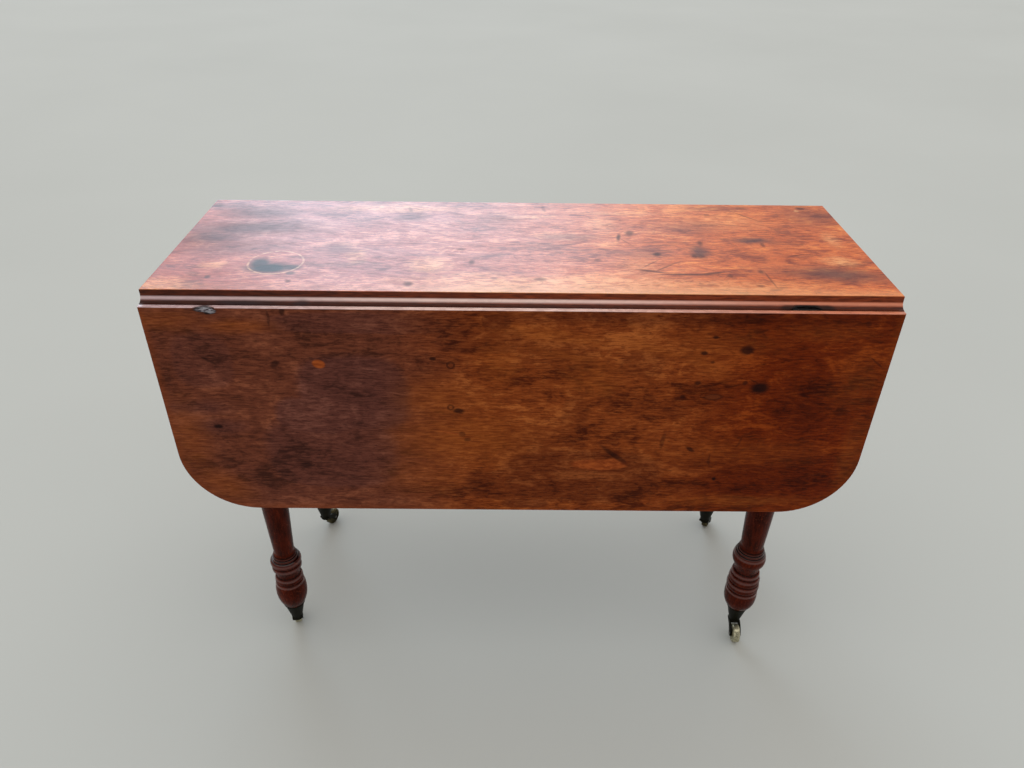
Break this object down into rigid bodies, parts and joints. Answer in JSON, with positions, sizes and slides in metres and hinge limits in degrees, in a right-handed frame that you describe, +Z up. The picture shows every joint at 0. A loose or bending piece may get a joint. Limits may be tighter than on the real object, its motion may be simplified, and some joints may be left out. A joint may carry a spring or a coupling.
{
  "type": "pembroke table",
  "caption": "Drop-leaf table: narrow fixed top, wide hinged leaves on rule joints, rail frame with end drawer, turned legs on brass cup casters.",
  "frame": {"origin": "on the floor under the middle of the fixed top", "axes": "+X along the table toward the drawer end, -Y toward the front leaf, +Z up from the floor"},
  "size_m": [1.04, 0.377, 0.728],
  "materials": {
    "mahogany": "old french-polished mahogany",
    "secondary_wood": "bare aged pine",
    "brass": "dark patinated brass",
    "iron": "dark iron",
    "axle_steel": "dull steel"
  },
  "bodies": {
    "frame": {"caster_cup_front_left": "brass", "caster_cup_front_right": "brass", "caster_cup_rear_left": "brass", "caster_cup_rear_right": "brass", "drawer_runner_front": "secondary_wood", "drawer_runner_rear": "secondary_wood", "drawer_stops": "secondary_wood", "fly_bracket_pins": "iron", "front_fly_bracket_left": "secondary_wood", "front_fly_bracket_right": "secondary_wood", "front_hinge_pins": "iron", "front_hinge_top_plates": "iron", "front_hinge_top_screws": "iron", "front_inner_rail": "secondary_wood", "front_outer_rail": "secondary_wood", "front_top_cleat": "secondary_wood", "glue_blocks": "secondary_wood", "left_end_rail": "mahogany", "leg_front_left": "mahogany", "leg_front_right": "mahogany", "leg_rear_left": "mahogany", "leg_rear_right": "mahogany", "lower_drawer_rail": "mahogany", "outer_rail_screws": "iron", "rear_fly_bracket_left": "secondary_wood", "rear_fly_bracket_right": "secondary_wood", "rear_hinge_pins": "iron", "rear_hinge_top_plates": "iron", "rear_hinge_top_screws": "iron", "rear_inner_rail": "secondary_wood", "rear_outer_rail": "secondary_wood", "rear_top_cleat": "secondary_wood", "top_board": "mahogany", "top_screws": "iron", "upper_drawer_rail": "mahogany"},
    "front_leaf": {"front_leaf": "mahogany", "front_hinge_leaf_plates": "iron", "front_hinge_leaf_screws": "iron"},
    "rear_leaf": {"rear_leaf": "mahogany", "rear_hinge_leaf_plates": "iron", "rear_hinge_leaf_screws": "iron"},
    "drawer": {"drawer_front": "mahogany", "drawer_side_front": "secondary_wood", "drawer_side_rear": "secondary_wood", "drawer_back": "secondary_wood", "drawer_bottom": "secondary_wood", "drawer_knob": "mahogany"},
    "caster_fork_front_left": {"caster_fork_front_left": "brass", "caster_axle_front_left": "axle_steel"},
    "caster_wheel_front_left": {"caster_wheel_front_left": "brass"},
    "caster_fork_front_right": {"caster_fork_front_right": "brass", "caster_axle_front_right": "axle_steel"},
    "caster_wheel_front_right": {"caster_wheel_front_right": "brass"},
    "caster_fork_rear_left": {"caster_fork_rear_left": "brass", "caster_axle_rear_left": "axle_steel"},
    "caster_wheel_rear_left": {"caster_wheel_rear_left": "brass"},
    "caster_fork_rear_right": {"caster_fork_rear_right": "brass", "caster_axle_rear_right": "axle_steel"},
    "caster_wheel_rear_right": {"caster_wheel_rear_right": "brass"}
  },
  "joints": [
    {"name": "front_leaf_hinge", "type": "hinge", "parent": "frame", "child": "front_leaf", "pos_m": [0, -0.171, 0.7105], "axis": [-1, 0, 0], "range_deg": [0, 90]},
    {"name": "rear_leaf_hinge", "type": "hinge", "parent": "frame", "child": "rear_leaf", "pos_m": [0, 0.171, 0.7105], "axis": [1, 0, 0], "range_deg": [0, 90]},
    {"name": "drawer_slide", "type": "slide", "parent": "frame", "child": "drawer", "axis": [1, 0, 0], "range_m": [0, 0.27]},
    {"name": "caster_swivel_front_left", "type": "hinge", "parent": "frame", "child": "caster_fork_front_left", "pos_m": [-0.41, -0.135, 0.038], "axis": [0, 0, 1], "continuous": true},
    {"name": "caster_wheel_spin_front_left", "type": "hinge", "parent": "caster_fork_front_left", "child": "caster_wheel_front_left", "pos_m": [-0.41667, -0.11562, 0.017], "axis": [-0.9455, -0.3256, 0], "continuous": true},
    {"name": "caster_swivel_front_right", "type": "hinge", "parent": "frame", "child": "caster_fork_front_right", "pos_m": [0.41, -0.135, 0.038], "axis": [0, 0, 1], "continuous": true},
    {"name": "caster_wheel_spin_front_right", "type": "hinge", "parent": "caster_fork_front_right", "child": "caster_wheel_front_right", "pos_m": [0.40928, -0.15549, 0.017], "axis": [0.9994, -0.0349, 0], "continuous": true},
    {"name": "caster_swivel_rear_left", "type": "hinge", "parent": "frame", "child": "caster_fork_rear_left", "pos_m": [-0.41, 0.135, 0.038], "axis": [0, 0, 1], "continuous": true},
    {"name": "caster_wheel_spin_rear_left", "type": "hinge", "parent": "caster_fork_rear_left", "child": "caster_wheel_rear_left", "pos_m": [-0.40134, 0.15358, 0.017], "axis": [-0.9063, 0.4226, 0], "continuous": true},
    {"name": "caster_swivel_rear_right", "type": "hinge", "parent": "frame", "child": "caster_fork_rear_right", "pos_m": [0.41, 0.135, 0.038], "axis": [0, 0, 1], "continuous": true},
    {"name": "caster_wheel_spin_rear_right", "type": "hinge", "parent": "caster_fork_rear_right", "child": "caster_wheel_rear_right", "pos_m": [0.41962, 0.1531, 0.017], "axis": [-0.8829, 0.4695, 0], "continuous": true}
  ]
}
